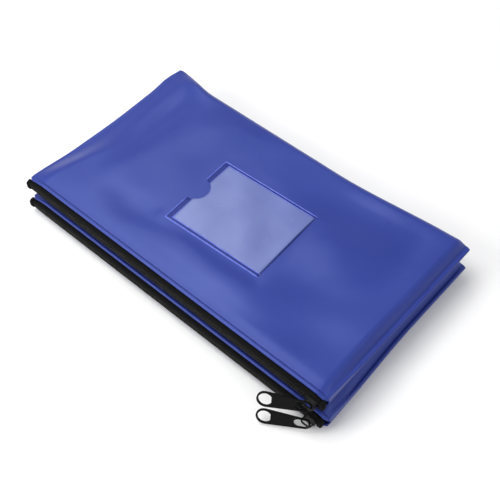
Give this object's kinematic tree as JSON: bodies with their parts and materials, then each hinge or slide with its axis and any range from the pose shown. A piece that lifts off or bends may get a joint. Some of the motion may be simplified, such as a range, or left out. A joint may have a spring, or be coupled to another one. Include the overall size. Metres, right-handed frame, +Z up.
{
  "type": "zippered deposit bag",
  "caption": "Stacked flat zippered vinyl deposit bags with a clear card window on the top panel and a metal pull tab on a black coil zipper.",
  "frame": {"origin": "centre of the lower bag's resting face", "axes": "+X along the zipper towards its closed end, +Y from the zipper to the folded edge, +Z up through the stack"},
  "size_m": [0.2843, 0.1886, 0.0336],
  "materials": {
    "vinyl": "satin embossed vinyl",
    "film": "clear milky film",
    "thread": "twisted thread",
    "tape": "woven black tape",
    "coil": "black nylon coil",
    "slider": "black enamel",
    "pull": "black enamel"
  },
  "bodies": {
    "lower_bag": {"lower_shell": "vinyl", "lower_card_window": "film", "lower_top_tape": "tape", "lower_bottom_tape": "tape", "lower_top_coil": "coil", "lower_bottom_coil": "coil", "lower_top_hem_thread": "thread", "lower_bottom_hem_thread": "thread", "lower_left_end_tab": "tape", "lower_right_end_tab": "tape"},
    "lower_slider": {"lower_slider_body": "slider", "lower_slider_bridge": "slider"},
    "lower_pull": {"lower_pull_tab": "pull"},
    "upper_bag": {"upper_shell": "vinyl", "upper_card_window": "film", "upper_top_tape": "tape", "upper_bottom_tape": "tape", "upper_top_coil": "coil", "upper_bottom_coil": "coil", "upper_top_hem_thread": "thread", "upper_bottom_hem_thread": "thread", "upper_left_end_tab": "tape", "upper_right_end_tab": "tape"},
    "upper_slider": {"upper_slider_body": "slider", "upper_slider_bridge": "slider"},
    "upper_pull": {"upper_pull_tab": "pull"}
  },
  "joints": [
    {"name": "lower_zipper", "type": "slide", "parent": "lower_bag", "child": "lower_slider", "axis": [-1, 0, 0], "range_m": [0, 0.264]},
    {"name": "lower_pull_swing", "type": "hinge", "parent": "lower_slider", "child": "lower_pull", "pos_m": [0.1345, -0.08885, 0.0075], "axis": [0, 0, 1], "range_deg": [-23, 72]},
    {"name": "upper_lift", "type": "slide", "parent": "lower_bag", "child": "upper_bag", "axis": [0, 0, 1], "range_m": [0, 0.06]},
    {"name": "upper_zipper", "type": "slide", "parent": "upper_bag", "child": "upper_slider", "axis": [-1, 0, 0], "range_m": [0, 0.264]},
    {"name": "upper_pull_swing", "type": "hinge", "parent": "upper_slider", "child": "upper_pull", "pos_m": [0.1328, -0.08615, 0.0245], "axis": [0, 0, 1], "range_deg": [-23, 72]}
  ]
}
